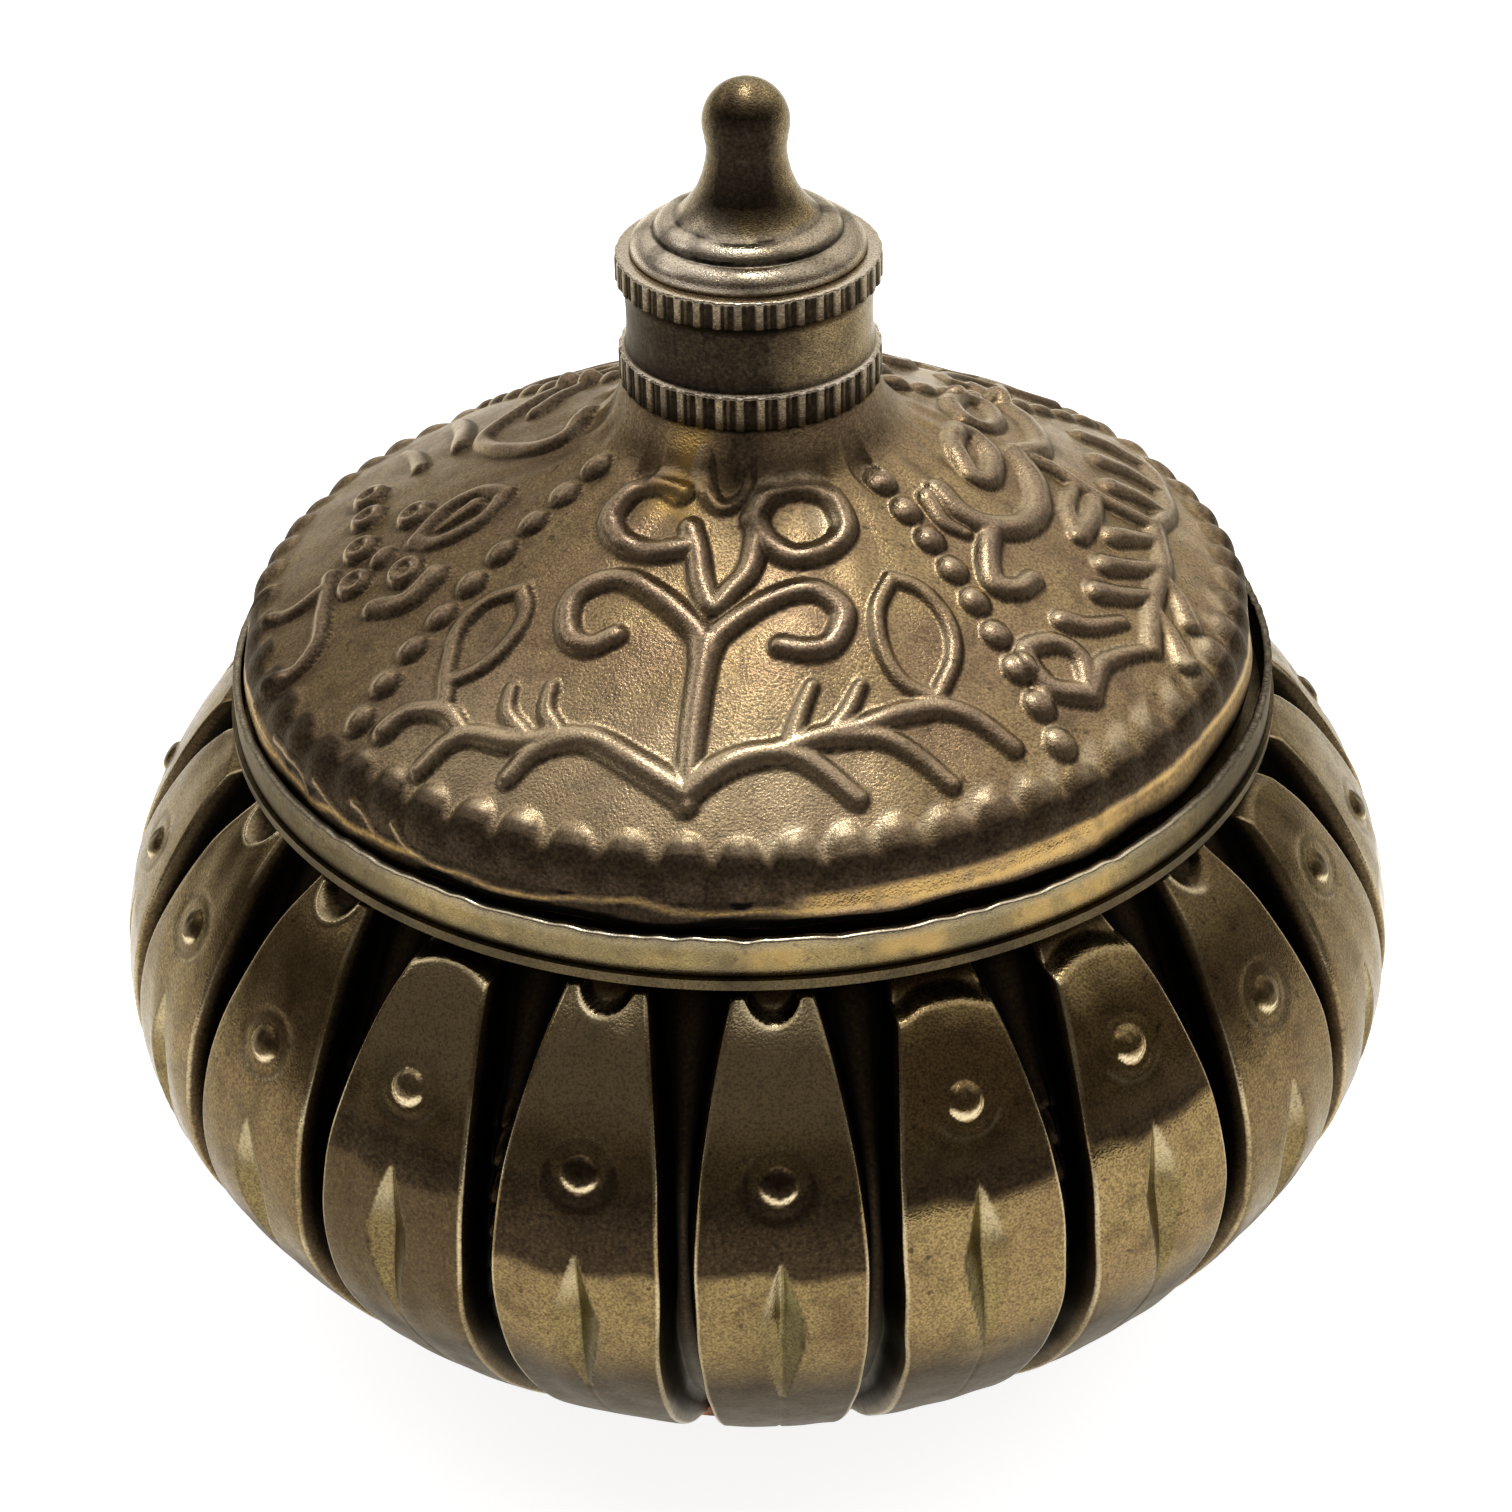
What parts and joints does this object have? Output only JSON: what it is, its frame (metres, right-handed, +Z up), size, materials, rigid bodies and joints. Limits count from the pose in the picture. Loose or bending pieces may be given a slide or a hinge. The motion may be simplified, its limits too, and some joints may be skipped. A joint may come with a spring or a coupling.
{
  "type": "trinket box",
  "caption": "Round lidded trinket box of pressed sheet brass: fluted bowl, upright collar, lift-off domed lid with raised ornament, and a turned finial over a knurled sleeve.",
  "frame": {"origin": "centre of the flat underside that the box stands on", "axes": "+Z up along the axis of the bowl and lid; -Y is the front, where the middle of one flute faces"},
  "size_m": [0.0762, 0.0762, 0.0739],
  "materials": {
    "bowl_brass": "pressed, aged and lacquered, satin",
    "base_brass": "aged, reddish at its edge, satin",
    "band_brass": "worn, brighter along its edge",
    "lid_brass": "pressed, granular, aged",
    "knob_brass": "turned, aged, semi-gloss",
    "fixing_brass": "plain, dull"
  },
  "bodies": {
    "bowl": {"body_shell": "bowl_brass", "base_disc": "base_brass", "seat_ring": "band_brass", "neck_collar": "band_brass"},
    "lid": {"lid_shell": "lid_brass", "lid_skirt": "lid_brass", "knurled_sleeve": "knob_brass", "finial": "knob_brass", "washer": "fixing_brass", "nut": "fixing_brass"}
  },
  "joints": [
    {"name": "lid_lift", "type": "slide", "parent": "bowl", "child": "lid", "axis": [0, 0, 1], "range_m": [0, 0.04]}
  ]
}
